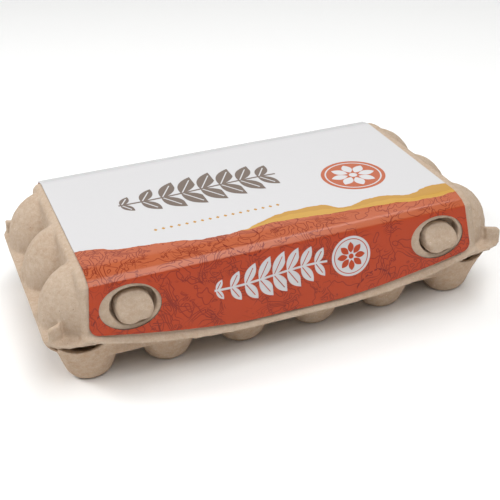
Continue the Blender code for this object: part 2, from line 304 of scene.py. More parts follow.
@dataclass(frozen=True)
class Speck:
    """One kind of speck in the pulp: its tone, how rare it is, its radius and its strength."""

    tone: Tone
    rarity: float
    radius_mm: float
    strength: float


@dataclass(frozen=True)
class MouldedPulp:
    """Waste paper pulp, sucked onto a mesh mould and dried: matt, warm grey-brown and lumpy.

    The wet fibres settle in small clumps, so the colour is cloudy from a few tenths of a
    millimetre to a few centimetres, and scraps of print stay in it as specks.
    """

    name: str = "moulded_paper_pulp"
    tone: Tone = Tone.PULP
    clouds: tuple[Clouding, ...] = (
        Clouding(17.0, 2.0, 0.38, 0.62, Tone.PULP_WARM, 0.45),
        Clouding(2.6, 3.0, 0.3, 0.7, Tone.PULP_PALE, 0.5),
        Clouding(0.75, 2.0, 0.25, 0.75, Tone.PULP_DARK, 0.2),
    )
    specks: tuple[Speck, ...] = (
        Speck(Tone.PULP_DARK, 0.80, 0.42, 0.55),
        Speck(Tone.PULP_PALE, 0.74, 0.546, 0.8),
        Speck(Tone.FLECK_RED, 0.975, 0.378, 0.8),
    )
    speck_spacing_mm: float = 3.4
    speck_core: float = 0.55
    speck_shift: tuple[float, float, float] = (0.37, 0.11, 0.053)
    fibre_mm: float = 0.5
    fibre_turns: tuple[float, float] = (0.5, 1.9)
    fibre_squeezes: tuple = ((1.0, 0.16, 0.5), (0.5, 0.16, 1.0))
    fibre_from: float = 0.66
    fibre_to: float = 0.74
    fibre_share: float = 0.35
    lump_mm: float = 3.64
    lump_height_mm: float = 0.35
    lump_strength: float = 0.6
    grain_mm: float = 0.75
    grain_height_mm: float = 0.16
    grain_strength: float = 0.95
    clumping: float = 0.6
    roughness: float = 0.93
    specular: float = 0.25

    def material(self) -> bpy.types.Material:
        """Build the material.

        Returns:
            The pulp's material, on object coordinates.
        """
        material, tree = start_material(self.name)
        at = add_node(tree, "TexCoord", output="Object")
        colour = self.flecked(at, self.clouded(at))
        relief = self.relief(at)
        end_material(tree, colour, self.roughness, Specular_IOR_Level=self.specular, Normal=relief)
        return material

    def clumps(self, at: Measure, size_mm: float, detail: float) -> Measure:
        """How thickly the fibres clump.

        Args:
            at: the place in metres.
            size_mm: how far apart the clumps are.
            detail: how many finer layers of clumps lie in them.

        Returns:
            The thickness, from 0 to 1.
        """
        inputs = {"Vector": at, "Scale": 1.0 / (size_mm * MM), "Detail": detail}
        return add_node(at.tree, "TexNoise", {}, inputs | {"Roughness": self.clumping})

    def clouded(self, at: Measure) -> Measure:
        """The pulp's own colour, cloudy at three sizes.

        Args:
            at: the place in metres.

        Returns:
            The colour.
        """
        colour: Any = linear(self.tone)
        for cloud in self.clouds:
            thick = self.clumps(at, cloud.size_mm, cloud.detail)
            amount = thick.through("MapRange", cloud.low, cloud.high, 0.0, cloud.share)
            colour = laid_over(colour, cloud.tone, amount)
        return colour

    def flecked(self, at: Measure, colour: Measure) -> Measure:
        """Lay dark, pale and a few red specks over the pulp's colour, and short fibres.

        Args:
            at: the place in metres.
            colour: the colour under them.

        Returns:
            The colour with the specks and fibres on it.
        """
        for number, speck in enumerate(self.specks):
            place = at.through("VectorMath ADD", [number * step for step in self.speck_shift])
            scale = 1.0 / (self.speck_spacing_mm * MM)
            cells = {"Vector": place, "Scale": scale, "Randomness": 1.0}
            near = add_node(at.tree, "TexVoronoi", {}, cells, "Distance")
            chance = add_node(at.tree, "TexVoronoi", {}, cells, "Color")
            radius = speck.radius_mm / self.speck_spacing_mm
            spot = near.through("MapRange", radius, self.speck_core * radius, 0.0, speck.strength)
            kept = chance.through("Math GREATER_THAN", speck.rarity)
            colour = colour.under(speck.tone, spot * kept)
        for turn, squeeze in zip(self.fibre_turns, self.fibre_squeezes):
            lie = {"Vector": at, "Rotation": (turn, turn, turn), "Scale": squeeze}
            thread = self.clumps(add_node(at.tree, "Mapping", {}, lie), self.fibre_mm, 1.0)
            ends = self.fibre_from, self.fibre_to, 0.0, self.fibre_share
            amount = thread.through("MapRange", *ends)
            colour = colour.under(Tone.PULP_PALE, amount)
        return colour

    def relief(self, at: Measure) -> Measure:
        """The felt-like surface: fine grain over soft lumps.

        Args:
            at: the place in metres.

        Returns:
            The bumped normal.
        """
        lumps = {
            "Strength": self.lump_strength,
            "Distance": self.lump_height_mm * MM,
            "Height": self.clumps(at, self.lump_mm, 2.0),
        }
        grain = {
            "Strength": self.grain_strength,
            "Distance": self.grain_height_mm * MM,
            "Height": self.clumps(at, self.grain_mm, 3.0),
            "Normal": add_node(at.tree, "Bump", {}, lumps),
        }
        return add_node(at.tree, "Bump", {}, grain)


def on_paper(at: Measure, size_mm: float, detail: float, **others: float) -> Measure:
    """Slow unevenness of the label's print or paper.

    Args:
        at: the place on the sheet in millimetres.
        size_mm: how far apart its swells are.
        detail: how many finer layers it has.
        **others: the noise's other inputs, by name.

    Returns:
        The unevenness, from 0 to 1.
    """
    inputs = {"Vector": at, "Scale": 1.0 / size_mm, "Detail": detail} | others
    return add_node(at.tree, "TexNoise", {"noise_dimensions": "2D"}, inputs)


@dataclass(frozen=True)
class Patches:
    """Soft patches of the sheet in which a family of lines shows."""

    size_mm: float
    low: float
    high: float
    shift_mm: float = 0.0

    def mask(self, at: Measure) -> Measure:
        """Draw the patches, from 0 to 1, for a place on the sheet in millimetres."""
        place = at.through("VectorMath ADD", (self.shift_mm, self.shift_mm, 0.0))
        return on_paper(place, self.size_mm, 2.0).through("MapRange", self.low, self.high)


@dataclass(frozen=True)
class Contours:
    """A family of map-like contour lines: level lines of a smooth noise, all of one width."""

    size_mm: float
    levels: float
    half_width_mm: float
    offset_mm: tuple[float, float, float]
    detail: float
    distortion: float
    step_mm: float = 0.2
    softness: float = 0.35
    flattest: float = 0.0005

    def mask(self, at: Measure) -> Measure:
        """Draw the lines.

        The noise's slope is measured a step to the right and a step up, and the height from the
        nearest level is divided by it. That gives the distance from the line, so a line keeps
        its width.

        Args:
            at: the place on the sheet in millimetres.

        Returns:
            1 on a line and 0 off it.
        """
        shape = {"Roughness": 0.5, "Distortion": self.distortion}
        heights = []
        for shift in ((0.0, 0.0, 0.0), (self.step_mm, 0.0, 0.0), (0.0, self.step_mm, 0.0)):
            moved = [a + b for a, b in zip(self.offset_mm, shift)]
            place = at.through("VectorMath ADD", moved)
            heights.append(on_paper(place, self.size_mm, self.detail, **shape) * self.levels)
        here, right, above = heights
        slope = add_node(at.tree, "CombineXYZ", {}, {0: right - here, 1: above - here})
        steep = add_node(at.tree, "VectorMath LENGTH", {}, {0: slope}, "Value") + self.flattest
        away = here.through("Math PINGPONG", 0.5) / steep
        edge = self.half_width_mm / self.step_mm
        ends = edge * (1 + self.softness), edge * (1 - self.softness)
        return away.through("MapRange", *ends, interpolation_type="SMOOTHSTEP")


@dataclass(frozen=True)
class LeafSprig:
    """A plain sprig of paired leaves on a stem, as a flat shape in the sheet's millimetres."""

    centre_mm: tuple[float, float]
    half_length_mm: float
    leaf_length_mm: float
    leaf_half_width_mm: float
    spacing_mm: float
    stem_half_width_mm: float
    vein_half_width_mm: float
    vein_share: float = 0.55
    lean: float = math.radians(58.0)
    root: float = 0.12
    taper: float = 0.5
    sway_mm: float = 1.6
    sway_turn: float = 2.2
    edge_mm: float = 0.12

    def mask(self, x: Measure, v: Measure) -> Measure:
        """Draw the sprig.

        Args:
            x: the place along the carton in millimetres.
            v: the place across the sheet in millimetres.

        Returns:
            1 on the sprig and 0 off it.
        """
        along_stem = x - self.centre_mm[0]
        swing = (along_stem * (self.sway_turn / self.half_length_mm)).through("Math SINE")
        off_stem = (v - self.centre_mm[1] - swing * self.sway_mm).through("Math ABSOLUTE")
        cell = along_stem.through("Math FLOORED_MODULO", self.spacing_mm)
        middle = (along_stem - cell) / self.half_length_mm
        grown = 1.0 - middle * middle * self.taper
        cos, sin = math.cos(self.lean), math.sin(self.lean)
        along = cell * cos + off_stem * sin
        across = off_stem * cos - cell * sin + self.root * self.spacing_mm
        across = across.through("Math ABSOLUTE")
        share = along * 2.0 / (grown * self.leaf_length_mm) - 1.0
        lens = (1.0 - share * share) * (grown * self.leaf_half_width_mm)
        vein = (self.vein_half_width_mm - across).inside(self.edge_mm)
        vein = vein * share.through("Math LESS_THAN", self.vein_share)
        leaf = (lens - across).inside(self.edge_mm) - vein
        stem = (self.stem_half_width_mm - off_stem).inside(self.edge_mm)
        ends = self.half_length_mm - along_stem.through("Math ABSOLUTE")
        return leaf.through("Math MAXIMUM", stem) * ends.inside(self.edge_mm)


@dataclass(frozen=True)
class Rosette:
    """A round badge with an open flower in it. The flower's sizes are shares of its radius."""

    centre_mm: tuple[float, float]
    radius_mm: float
    petals: int = 8
    petal_middle: float = 0.45
    petal_half_length: float = 0.27
    petal_half_width: float = 0.155
    heart: float = 0.13
    ring: float = 0.86
    ring_half_width: float = 0.022
    edge_mm: float = 0.12

    def masks(self, x: Measure, v: Measure) -> tuple[Measure, Measure]:
        """Draw the badge and its flower.

        Args:
            x: the place along the carton in millimetres.
            v: the place across the sheet in millimetres.

        Returns:
            The disc's mask and the flower's mask.
        """
        soft = self.edge_mm / self.radius_mm
        across = (x - self.centre_mm[0]) / self.radius_mm
        up = (v - self.centre_mm[1]) / self.radius_mm
        out = (across * across + up * up).through("Math SQRT")
        angle = up.through("Math ARCTAN2", across).through("Math PINGPONG", math.pi / self.petals)
        share = (out * angle.through("Math COSINE") - self.petal_middle) / self.petal_half_length
        lens = (1.0 - share * share) * self.petal_half_width
        petal = (lens - out * angle.through("Math SINE")).inside(soft)
        heart = (self.heart - out).inside(soft)
        ring = (self.ring_half_width - (out - self.ring).through("Math ABSOLUTE")).inside(soft)
        flower = petal.through("Math MAXIMUM", heart).through("Math MAXIMUM", ring)
        return (1.0 - out).inside(soft), flower


@dataclass(frozen=True)
class LozengeRow:
    """A row of small lozenges, as a flat shape in the sheet's millimetres."""

    centre_mm: tuple[float, float]
    half_length_mm: float
    half_pitch_mm: float
    half_height_mm: float
    narrowing: float = 1.25
    edge_mm: float = 0.1

    def mask(self, x: Measure, v: Measure) -> Measure:
        """Draw the row.

        Args:
            x: the place along the carton in millimetres.
            v: the place across the sheet in millimetres.

        Returns:
            1 on a lozenge and 0 off it.
        """
        along = x - self.centre_mm[0]
        across = (v - self.centre_mm[1]).through("Math ABSOLUTE")
        cell = along.through("Math PINGPONG", self.half_pitch_mm)
        shape = (self.half_height_mm - (cell * self.narrowing + across)).inside(self.edge_mm)
        return shape * along.through("Math ABSOLUTE").through("Math LESS_THAN", self.half_length_mm)


@dataclass(frozen=True)
class PrintedPaper:
    """Coated label paper, offset printed in flat inks: satin, smooth, with a sheen on its folds.

    The print is three fields of ink with drawn borders: white over the lid, a mustard strip, and
    rust down the front and back. The rust over the top, the shoulders and the back is a lighter
    copy of the front's rust: painted light, which ends at the lower front fold. Thin dark contour
    lines run through the rust. Places on the sheet are in millimetres: x along the carton, v
    across it from the middle of the lid.
    """

    name: str = "printed_label_paper"
    uv_map: str = "print"
    half_length_mm: float = 118.0
    low_mm: float = -66.0
    high_mm: float = -26.0
    back_fold_mm: float = 71.5
    # Across these two places on the lower shoulder the painted-light rust gives way to the front's
    # rust.
    painted_light_fades_from_mm: float = -70.6
    painted_light_gone_at_mm: float = -72.6
    ink_edge_mm: float = 0.15
    ragged_mm: float = 7.0
    ragged_height_mm: float = 1.3
    wave_mm: float = 5.0
    wave_height_mm: float = 0.12
    wave_strength: float = 0.35
    roughness: float = 0.27
    specular: float = 0.32
    white_border: tuple[tuple[float, float], ...] = (
        (-118.0, -38.2), (-108.0, -39.2), (-94.0, -44.6), (-75.0, -46.5), (-60.0, -49.6),
        (-41.0, -53.4), (-26.0, -52.8), (-9.4, -47.8), (7.0, -42.4), (31.5, -42.2),
        (44.0, -50.7), (63.0, -46.3), (78.7, -48.9), (87.6, -51.5), (100.7, -46.9),
        (118.0, -47.6),
    )
    tone_border: tuple[tuple[float, float], ...] = (
        (-118.0, -28.0), (-30.0, -50.0), (-12.0, -50.0), (0.0, -46.4), (31.0, -48.2),
        (50.0, -53.4), (70.0, -52.0), (92.0, -57.0), (118.0, -56.0),
    )
    rust_border: tuple[tuple[float, float], ...] = (
        (-118.0, -28.0), (-60.0, -40.0), (-40.0, -49.0), (-24.0, -52.5), (-16.0, -52.6),
        (-4.1, -51.0), (13.9, -52.4), (38.5, -55.2), (64.2, -56.9), (89.8, -59.8),
        (118.0, -59.5),
    )
    fine_lines: Contours = Contours(21.0, 14.0, 0.24, (3.0, 11.0, 0.0), 2.6, 0.35)
    fine_patches: Patches = Patches(30.0, 0.40, 0.50)
    fine_ink: float = 0.85
    hatch_lines: Contours = Contours(6.0, 3.5, 0.26, (23.0, 51.0, 0.0), 2.0, 0.8)
    hatch_patches: Patches = Patches(11.0, 0.52, 0.60, 240.0)
    hatch_ends_mm: tuple[float, float] = (50.0, 20.0)
    broad_lines: Contours = Contours(36.0, 4.0, 0.28, (61.0, 27.0, 0.0), 3.0, 0.2)
    broad_ink: float = 0.7
    track_lines: Contours = Contours(60.0, 3.0, 0.46, (17.0, 83.0, 0.0), 1.0, 0.1)
    dash_mm: float = 3.0
    dash_gap_mm: float = 1.125
    top_sprig: LeafSprig = LeafSprig((-28.5, 8.0), 52.0, 25.0, 5.6, 13.0, 0.85, 0.4)
    front_sprig: LeafSprig = LeafSprig((-13.0, -88.5), 35.0, 15.5, 3.5, 8.75, 0.65, 0.28)
    top_badge: Rosette = Rosette((68.0, -13.0), 20.5)
    front_badge: Rosette = Rosette((37.5, -87.5), 12.5)
    lozenges: LozengeRow = LozengeRow((-30.0, -31.5), 40.0, 2.4, 1.5)

    def material(self) -> bpy.types.Material:
        """Build the material.

        Returns:
            The printed paper's material, on the sheet's own map.
        """
        material, tree = start_material(self.name)
        sheet = add_node(tree, "UVMap", {"uv_map": self.uv_map})
        at = add_node(tree, "VectorMath SCALE", {}, {0: sheet, "Scale": 1.0 / MM})
        x, v = (add_node(tree, "SeparateXYZ", {}, {0: at}, axis) for axis in (0, 1))
        colour = self.motifs(x, v, self.fields(at, x, v))
        waves = {
            "Strength": self.wave_strength,
            "Distance": self.wave_height_mm * MM,
            "Height": on_paper(at, self.wave_mm, 3.0),
        }
        relief = add_node(tree, "Bump", {}, waves)
        end_material(tree, colour, self.roughness, Specular_IOR_Level=self.specular, Normal=relief)
        return material

    def ahead_of(
        self, points: Sequence[tuple[float, float]], at: Measure, x: Measure, v: Measure
    ) -> Measure:
        """Mask what lies in front of a drawn border, which is a little ragged as a hill's is.

        Args:
            points: the border's places as (x, v), from left to right.
            at: the place on the sheet.
            x: its place along the carton.
            v: its place across the sheet.

        Returns:
            1 in front of the border and 0 behind it.
        """
        span = self.high_mm - self.low_mm
        share = x.through("MapRange", -self.half_length_mm, self.half_length_mm)
        drawn = add_node(at.tree, "FloatCurve", {}, {"Value": share})
        mapping = drawn.socket.node.mapping
        curve = mapping.curves[0]
        places = [
            ((px / self.half_length_mm + 1.0) / 2.0, (pv - self.low_mm) / span) for px, pv in points
        ]
        curve.points[0].location, curve.points[1].location = places[0], places[-1]
        for place in places[1:-1]:
            curve.points.new(*place)
        mapping.update()
        height = drawn.through("MapRange", 0.0, 1.0, self.low_mm, self.high_mm)
        ragged = on_paper(at, self.ragged_mm, 2.0)
        wobble = ragged.through("MapRange", 0.0, 1.0, -self.ragged_height_mm, self.ragged_height_mm)
        return (height + wobble - v).inside(self.ink_edge_mm)

    def fields(self, at: Measure, x: Measure, v: Measure) -> Measure:
        """Print the white, mustard and rust fields, with painted light on the rust over the top,
        the shoulders and the back, and the lines in the rust.

        Args:
            at: the place on the sheet.
            x: its place along the carton.
            v: its place across the sheet.

        Returns:
            The colour of the fields.
        """
        coloured = self.ahead_of(self.white_border, at, x, v)
        paler = self.ahead_of(self.tone_border, at, x, v)
        rust_front = coloured * self.ahead_of(self.rust_border, at, x, v)
        back = (v - self.back_fold_mm).inside(self.ink_edge_mm)
        rust = rust_front.through("Math MAXIMUM", back)
        colour = laid_over(linear(Tone.PAPER), Tone.MUSTARD, coloured)
        # All the rust is laid first in its lighter copy, painted light for the lit top and
        # shoulders.
        colour = colour.under(Tone.MUSTARD_PALE, coloured * paler).under(Tone.RUST_PALE, rust)
        # Below the lower front fold the painted light ends and the front's own rust covers it.
        ends = self.painted_light_fades_from_mm, self.painted_light_gone_at_mm
        full = v.through("MapRange", *ends, interpolation_type="SMOOTHSTEP")
        colour = colour.under(Tone.RUST, full * rust)
        return colour.under(Tone.RUST_LINE, self.lines(at, x) * rust)

    def lines(self, at: Measure, x: Measure) -> Measure:
        """Draw the dark lines: fine contours that crowd in places, broad ones, and dashed tracks.

        Args:
            at: the place on the sheet.
            x: its place along the carton.

        Returns:
            How much of the dark ink lies there, from 0 to 1.
        """
        fine = self.fine_lines.mask(at) * self.fine_patches.mask(at)
        hatch = self.hatch_lines.mask(at) * self.hatch_patches.mask(at)
        hatch = hatch * x.through("MapRange", *self.hatch_ends_mm)
        fine = fine.through("Math MAXIMUM", hatch) * self.fine_ink
        broad = self.broad_lines.mask(at) * self.broad_ink
        dash = x.through("Math FLOORED_MODULO", self.dash_mm)
        dash = dash.through("Math GREATER_THAN", self.dash_gap_mm)
        track = self.track_lines.mask(at) * dash
        return fine.through("Math MAXIMUM", broad).through("Math MAXIMUM", track)

    def motifs(self, x: Measure, v: Measure, colour: Measure) -> Measure:
        """Print the plain ornaments: two sprigs, two flower badges and a row of lozenges.

        Args:
            x: the place along the carton.
            v: the place across the sheet.
            colour: the colour under them.

        Returns:
            The colour with the ornaments on it.
        """
        colour = colour.under(Tone.EARTH, self.top_sprig.mask(x, v))
        colour = colour.under(Tone.PAPER, self.front_sprig.mask(x, v))
        disc, flower = self.top_badge.masks(x, v)
        # The top badge's disc takes the lighter, painted-light copy of the rust.
        colour = colour.under(Tone.RUST_PALE, disc).under(Tone.PAPER, flower)
        disc, flower = self.front_badge.masks(x, v)
        colour = colour.under(Tone.PAPER, disc).under(Tone.RUST, flower)
        return colour.under(Tone.MUSTARD, self.lozenges.mask(x, v))


@dataclass(frozen=True)
class PaperEdge:
    """The label paper where it is cut: unbleached and matt, with its fibres showing."""

    name: str = "cut_paper_edge"
    fibre_mm: float = 0.4
    roughness: float = 0.8

    def material(self) -> bpy.types.Material:
        """Build the material.

        Returns:
            The cut paper's material, on object coordinates.
        """
        material, tree = start_material(self.name)
        at = add_node(tree, "TexCoord", output="Object")
        size = {"Vector": at, "Scale": 1.0 / (self.fibre_mm * MM), "Detail": 2.0}
        fibres = add_node(tree, "TexNoise", {}, size)
        end_material(tree, laid_over(linear(Tone.PULP_PALE), Tone.PULP, fibres), self.roughness)
        return material


@dataclass(frozen=True)
class StudioFloor:
    """A plain pale table top, painted matt."""

    name: str = "matt_pale_paint"
    roughness: float = 0.9

    def material(self) -> bpy.types.Material:
        """Build the material.

        Returns:
            The floor's material.
        """
        material, tree = start_material(self.name)
        end_material(tree, linear(Tone.FLOOR), self.roughness)
        return material


@dataclass
class PulpPiece:
    """A piece of the carton that was moulded from pulp.

    Its solid is melted into one skin, its creases are filled as the wet felt fills them, and its
    faces get the slight waves of a part that dried free of the mould.
    """

    node: str
    name: str
    skin: float
    merge_within: float = 0.01 * MM
    wave_size: float = 13 * MM
    wave_height: float = 0.30 * MM
    lump_size: float = 2.8 * MM
    lump_height: float = 0.13 * MM
    most_triangles: int = 190_000

    def copied(self) -> bpy.types.Object:
        """Copy the solid as a new piece, with its loose triangles merged.

        Returns:
            The new piece.
        """
        piece = bpy.data.objects.new(self.name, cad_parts[self.node].data.copy())
        bpy.context.scene.collection.objects.link(piece)
        make_active(piece)
        bpy.ops.object.mode_set(mode="EDIT")
        bpy.ops.mesh.select_all(action="SELECT")
        bpy.ops.mesh.remove_doubles(threshold=self.merge_within)
        bpy.ops.object.mode_set(mode="OBJECT")
        return piece

    def melted(self, piece: bpy.types.Object) -> None:
        """Turn the piece into one even skin of small faces."""
        settings = {"mode": "VOXEL", "voxel_size": self.skin, "use_smooth_shade": True}
        apply_modifier(piece, "REMESH", **settings)

    def soften(
        self, piece: bpy.types.Object, rounds: int, weight: Callable[[Vector], float]
    ) -> None:
        """Fill the creases and round the edges.

        Args:
            piece: the piece to change.
            rounds: how often it is smoothed.
            weight: how much of that each place gets, from 0 to 1.
        """
        group = weigh(piece, "soft", weight)
        apply_modifier(piece, "SMOOTH", factor=0.5, iterations=rounds, vertex_group=group)

    def roughen(self, piece: bpy.types.Object, weight: Callable[[Vector], float]) -> None:
        """Give the faces slow waves and small lumps.

        Args:
            piece: the piece to change.
            weight: how much each place gets, from 0 to 1.
        """
        settings = {
            "texture_coords": "LOCAL",
            "mid_level": 0.5,
            "vertex_group": weigh(piece, "rough", weight),
        }
        waves, lumps = (self.wave_size, self.wave_height), (self.lump_size, self.lump_height)
        for size, height in (waves, lumps):
            clouds = bpy.data.textures.new(f"{self.name}_clouds", "CLOUDS")
            clouds.noise_scale = size
            clouds.noise_depth = 1
            apply_modifier(piece, "DISPLACE", texture=clouds, strength=height, **settings)

    def finish(self, piece: bpy.types.Object) -> None:
        """Thin the piece out to most_triangles where it has more, and shade it smooth.

        Args:
            piece: the piece to finish.
        """
        triangles = sum(len(face.vertices) - 2 for face in piece.data.polygons)
        if triangles > self.most_triangles:
            apply_modifier(piece, "DECIMATE", ratio=self.most_triangles / triangles)
        make_active(piece)
        bpy.ops.object.shade_smooth()


@dataclass
class Tray(PulpPiece):
    """The lower half: eighteen cups, the webs between them and the rim."""

    node: str = "tray"
    name: str = "tray_shell"
    skin: float = 1.05 * MM
    rounds: int = 4
    rim_starts: float = 26 * MM
    rim_softness: float = 0.35
    foot_height: float = 4 * MM
    corner_cups: tuple = ((-118.75 * MM, -46.5 * MM), (118.75 * MM, -46.5 * MM))
    hollow_bottom: float = 12 * MM
    hollow_top: float = 38 * MM
    hollow_bottom_radius: float = 13.8 * MM
    hollow_top_radius: float = 23.4 * MM
    hollow_sides: int = 48

    def build(self, pulp: bpy.types.Material) -> None:
        """Build and dress the tray.

        Args:
            pulp: the tray's material.
        """
        piece = self.copied()
        self.hollow_corners(piece)
        self.melted(piece)
        self.soften(
            piece, self.rounds, lambda at: 1.0 if at.z < self.rim_starts else self.rim_softness
        )
        self.roughen(piece, lambda at: min(1.0, at.z / self.foot_height))
        self.finish(piece)
        dress(piece, [pulp], self.node)

    def hollow_corners(self, piece: bpy.types.Object) -> None:
        """Hollow the two front corner cups, which the gap under the lid's lip looks into.

        Args:
            piece: the solid tray.
        """
        for x, y in self.corner_cups:
            bpy.ops.object.select_all(action="DESELECT")
            bpy.ops.mesh.primitive_cone_add(
                vertices=self.hollow_sides,
                radius1=self.hollow_bottom_radius,
                radius2=self.hollow_top_radius,
                depth=self.hollow_top - self.hollow_bottom,
                location=(x, y, (self.hollow_top + self.hollow_bottom) / 2),
            )
            cut_away(piece, bpy.context.active_object)


@dataclass
class Lid(PulpPiece):
    """The upper half: the lid's box, three egg-shaped lobes at each end, the flange and the lip."""

    node: str = "lid"
    name: str = "lid_shell"
    skin: float = 0.8 * MM
    rounds: int = 1
    fillet_rounds: int = 5
    flange_half_length: float = 145.4 * MM
    flange_front: float = -74.5 * MM
    flange_back: float = 76.6 * MM
    flange_corner: float = 12 * MM
    thin_edge: float = 5 * MM
    box_half_length: float = 118 * MM
    box_softness: float = 0.2
    label_half_length: float = 119 * MM
    label_half_depth: float = 60 * MM
    label_top: float = 70 * MM
    label_lowest: float = 40 * MM
    wall_roughness: float = 0.45
    lip_front: float = -72.5 * MM
    lip_lowest: float = 24.4 * MM
    lip_level: float = 25 * MM
    lip_rise: float = 11.8 * MM
    lip_length: float = 91 * MM
    lip_power: float = 2.1
    ledge_width: float = 1.1 * MM
    ledge_height: float = 1.3 * MM
    ledge_slope: float = 0.8 * MM
    ledge_reach: float = 7 * MM
    ledge_fade: float = 8 * MM
    lug_inner: float = 127 * MM
    lug_top: float = 49 * MM
    lug_rows: tuple = ((-72 * MM, -60 * MM), (-2 * MM, 11 * MM), (62.5 * MM, 75 * MM))

    def build(self, pulp: bpy.types.Material) -> None:
        """Build and dress the lid.

        Args:
            pulp: the lid's material.
        """
        piece = self.copied()
        self.melted(piece)
        self.soften(piece, self.rounds, lambda at: 1.0)
        self.soften(piece, self.fillet_rounds, self.thickness_here)
        self.set_back(piece)
        self.roughen(piece, self.bareness_here)
        self.finish(piece)
        dress(piece, [pulp], self.node)

    def thickness_here(self, at: Vector) -> float:
        """How much a place's creases fill: the lip, the thin outer edge and the lugs stay crisp.

        Args:
            at: the place in metres.

        Returns:
            The share of the filling, from 0 to 1.
        """
        in_lug_row = any(front < at.y < back for front, back in self.lug_rows)
        if abs(at.x) > self.lug_inner and at.z < self.lug_top and in_lug_row:
            return 0.0
        if abs(at.x) < self.box_half_length:
            return self.box_softness
        middle = (self.flange_front + self.flange_back) / 2
        half_depth = (self.flange_back - self.flange_front) / 2
        x = max(abs(at.x) - (self.flange_half_length - self.flange_corner), 0.0)
        y = max(abs(at.y - middle) - (half_depth - self.flange_corner), 0.0)
        inside = self.flange_corner - math.hypot(x, y)
        return min(1.0, max(0.0, inside / self.thin_edge))

    def set_back(self, piece: bpy.types.Object) -> None:
        """Set the front wall back over its lower edge, so that the edge stands out as a ledge.

        Args:
            piece: the softened lid.
        """
        settings = {"direction": "Y", "strength": self.ledge_width, "mid_level": 0.0}
        group = weigh(piece, "set_back", self.over_ledge)
        apply_modifier(piece, "DISPLACE", vertex_group=group, **settings)

    def over_ledge(self, at: Vector) -> float:
        """How far a place on the front wall is set back.

        Args:
            at: the place in metres.

        Returns:
            0 on the ledge, 1 just over it, and 0 again under the label.
        """
        if at.y > self.lip_front or abs(at.x) > self.box_half_length:
            return 0.0
        reach = max(abs(at.x) - self.lip_level, 0.0) / self.lip_length
        over = at.z - self.lip_lowest - self.lip_rise * reach**self.lip_power
        fade = min(1.0, (self.box_half_length - abs(at.x)) / self.ledge_fade)
        rise = min(1.0, max(0.0, (over - self.ledge_height) / self.ledge_slope))
        return fade * rise * min(1.0, max(0.0, (self.ledge_reach - over) / (self.ledge_reach / 2)))

    def bareness_here(self, at: Vector) -> float:
        """How rough a place may be: the pulp close under the label stays flat.

        Args:
            at: the place in metres.

        Returns:
            The share of the roughness, from 0 to 1.
        """
        if abs(at.x) > self.label_half_length or at.z < self.label_lowest:
            return 1.0
        under = at.z > self.label_top or abs(at.y) < self.label_half_depth
        return 0.0 if under else self.wall_roughness


@dataclass
class LatchKnob(PulpPiece):
    """A latch: a blunt tongue of the tray that snaps through the lid's front wall."""

    node: str = Latch.LEFT.value
    name: str = "latch_knob"
    skin: float = 0.45 * MM
    rounds: int = 2
    lump_size: float = 1.6 * MM
    lump_share: float = 0.8
    notch_radius: float = 9.0 * MM
    notch_shift: float = 4.2 * MM
    notch_drop: float = 14.4 * MM
    notch_depth: float = 3.6 * MM
    notch_sides: int = 48
    brow_height: float = 7.4 * MM
    brow_slope: float = math.radians(44.0)
    cutter_size: float = 60 * MM

    def build(self, pulp: bpy.types.Material) -> None:
        """Build one knob, copy it to the other latch, and dress both.

        Args:
            pulp: the knobs' material.
        """
        first = self.copied()
        self.notched(first)
        self.browed(first)
        self.melted(first)
        self.soften(first, self.rounds, lambda at: 1.0)
        self.roughen(first, lambda at: self.lump_share)
        self.finish(first)
        first.name = Latch.LEFT.value + "_knob"
        second = bpy.data.objects.new(Latch.RIGHT.value + "_knob", first.data.copy())
        bpy.context.scene.collection.objects.link(second)
        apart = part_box(Latch.RIGHT.value)[0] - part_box(Latch.LEFT.value)[0]
        second.data.transform(Matrix.Translation(apart))
        dress(first, [pulp], Latch.LEFT.value)
        dress(second, [pulp], Latch.RIGHT.value)

    def notched(self, piece: bpy.types.Object) -> None:
        """Cut the shallow notch where the knob's lower edge hooks behind the lid's wall.

        Args:
            piece: the solid knob.
        """
        low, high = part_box(self.node)
        middle = (low + high) / 2
        bpy.ops.object.select_all(action="DESELECT")
        bpy.ops.mesh.primitive_cylinder_add(
            vertices=self.notch_sides,
            radius=self.notch_radius,
            depth=2 * self.notch_depth,
            location=(middle.x + self.notch_shift, low.y, middle.z - self.notch_drop),
            rotation=(math.pi / 2, 0, 0),
        )
        cut_away(piece, bpy.context.active_object)

    def browed(self, piece: bpy.types.Object) -> None:
        """Slope the knob's upper half back from a crease across its face.

        Args:
            piece: the solid knob.
        """
        low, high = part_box(self.node)
        crease = Vector(((low.x + high.x) / 2, low.y, low.z + self.brow_height))
        outwards = Vector((0.0, -math.cos(self.brow_slope), math.sin(self.brow_slope)))
        bpy.ops.object.select_all(action="DESELECT")
        bpy.ops.mesh.primitive_cube_add(
            size=self.cutter_size,
            location=crease + outwards * self.cutter_size / 2,
            rotation=(-self.brow_slope, 0, 0),
        )
        cut_away(piece, bpy.context.active_object)


